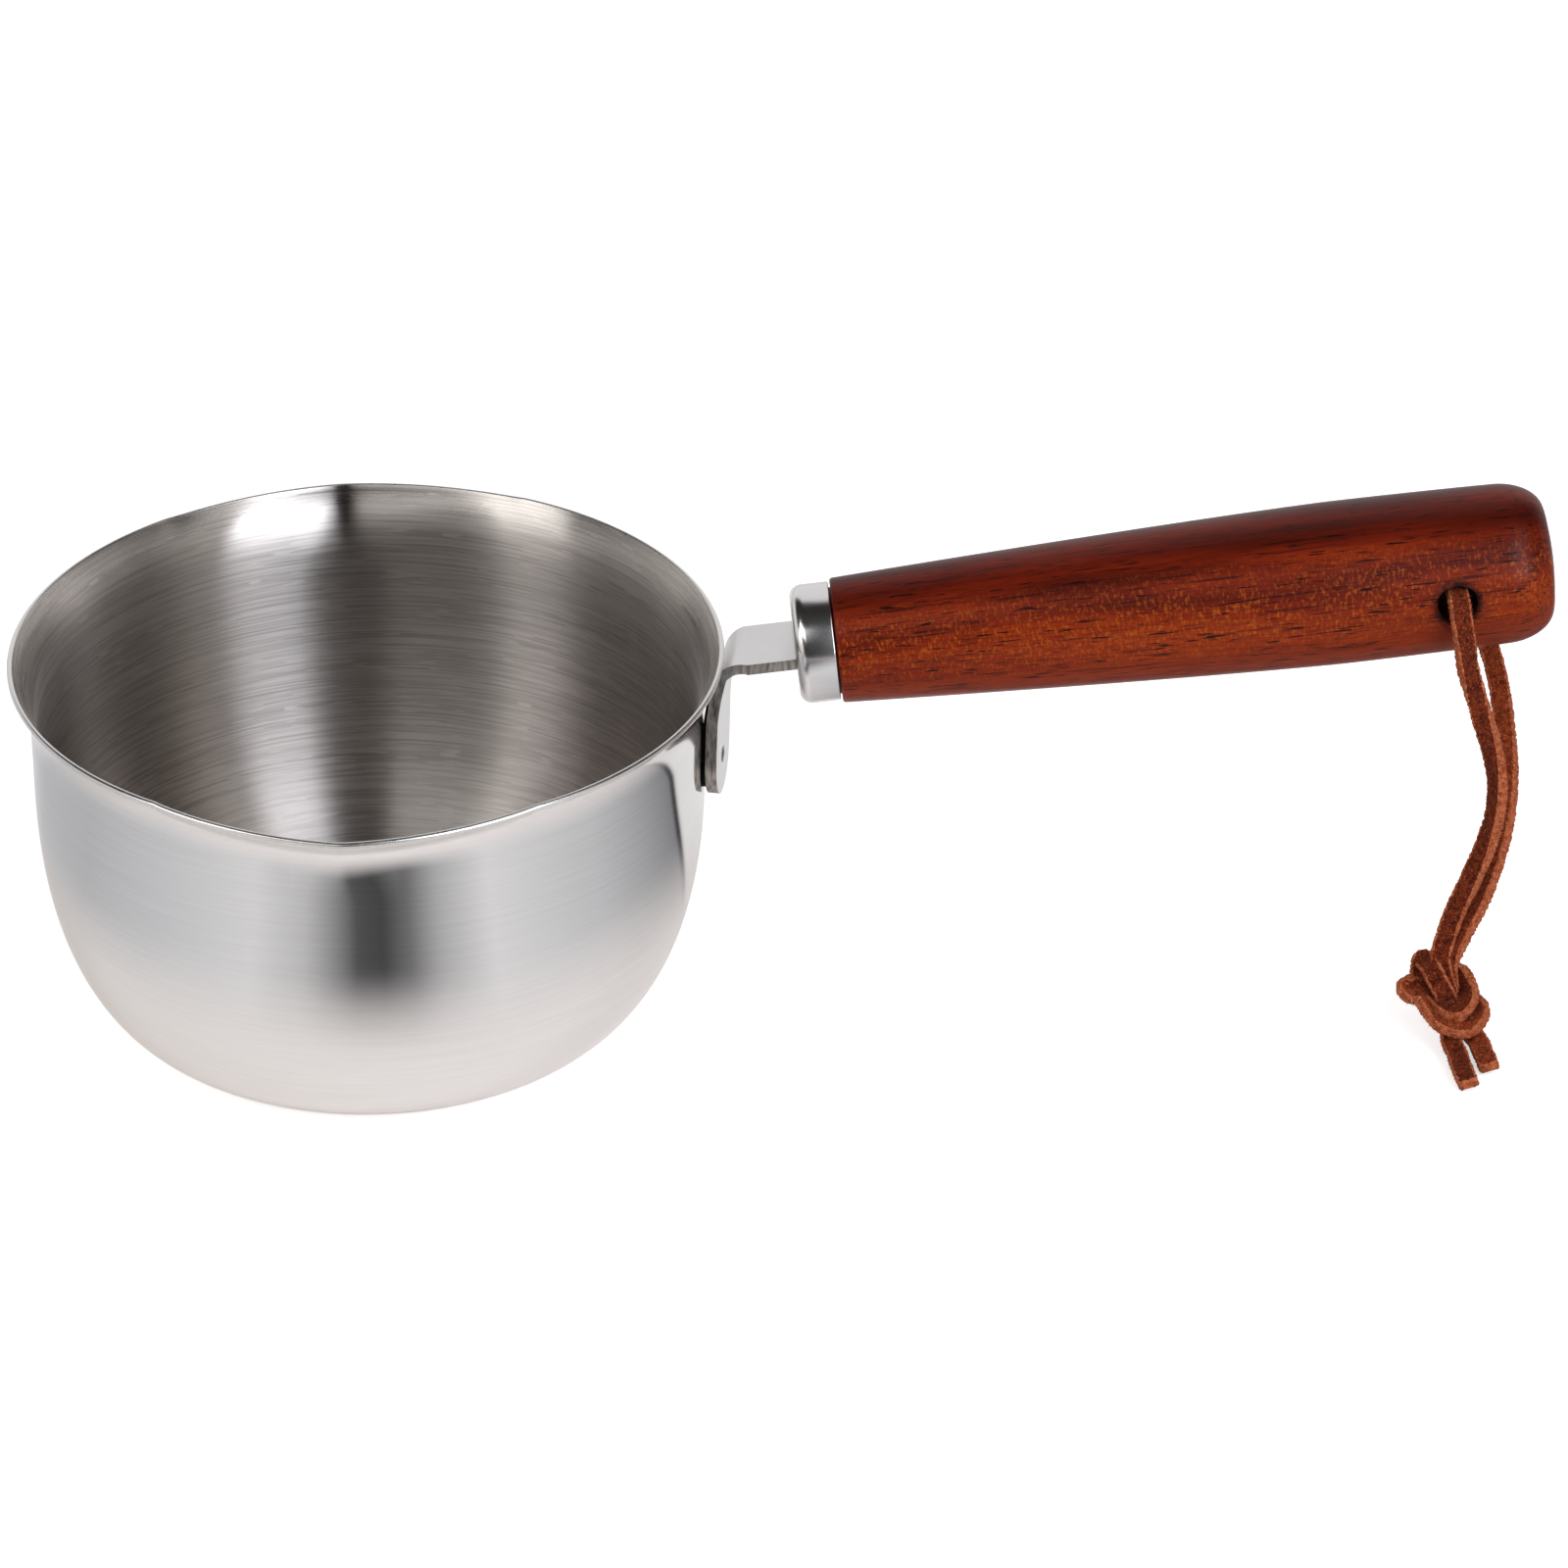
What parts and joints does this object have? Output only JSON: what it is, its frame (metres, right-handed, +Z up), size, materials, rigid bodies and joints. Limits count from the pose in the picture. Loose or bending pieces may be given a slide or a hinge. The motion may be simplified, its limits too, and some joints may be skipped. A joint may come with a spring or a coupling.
{
  "type": "saucepan",
  "caption": "Small steel milk pan with a flared rim, pressed pour lips, a welded strap, a turned wooden grip in a steel ferrule, and a knotted suede hanging thong.",
  "frame": {"origin": "centre of the flat underside of the base, on the pan's axis", "axes": "+Z up along the pan's axis, +X towards the handle's end, and the pour lips near +Y and -Y"},
  "size_m": [0.2695, 0.1294, 0.0955],
  "materials": {
    "pan_steel": "polished outside, brushed in rings inside",
    "strap_steel": "rolled strip with sheared edges",
    "ferrule_steel": "drawn and polished",
    "grip_wood": "red-brown stain under gloss lacquer",
    "resin": "cured casting resin",
    "suede": "split suede with cut edges"
  },
  "bodies": {
    "pan": {"pan_body": "pan_steel", "handle_strap": "strap_steel", "ferrule": "ferrule_steel", "handle_grip": "grip_wood", "tang_resin": "resin"},
    "thong": {"thong_loop": "suede", "thong_knot": "suede"}
  },
  "joints": [
    {"name": "thong_swing", "type": "hinge", "parent": "pan", "child": "thong", "pos_m": [0.18868, 0, 0.08118], "axis": [0, -1, 0], "range_deg": [-60, 150]}
  ]
}
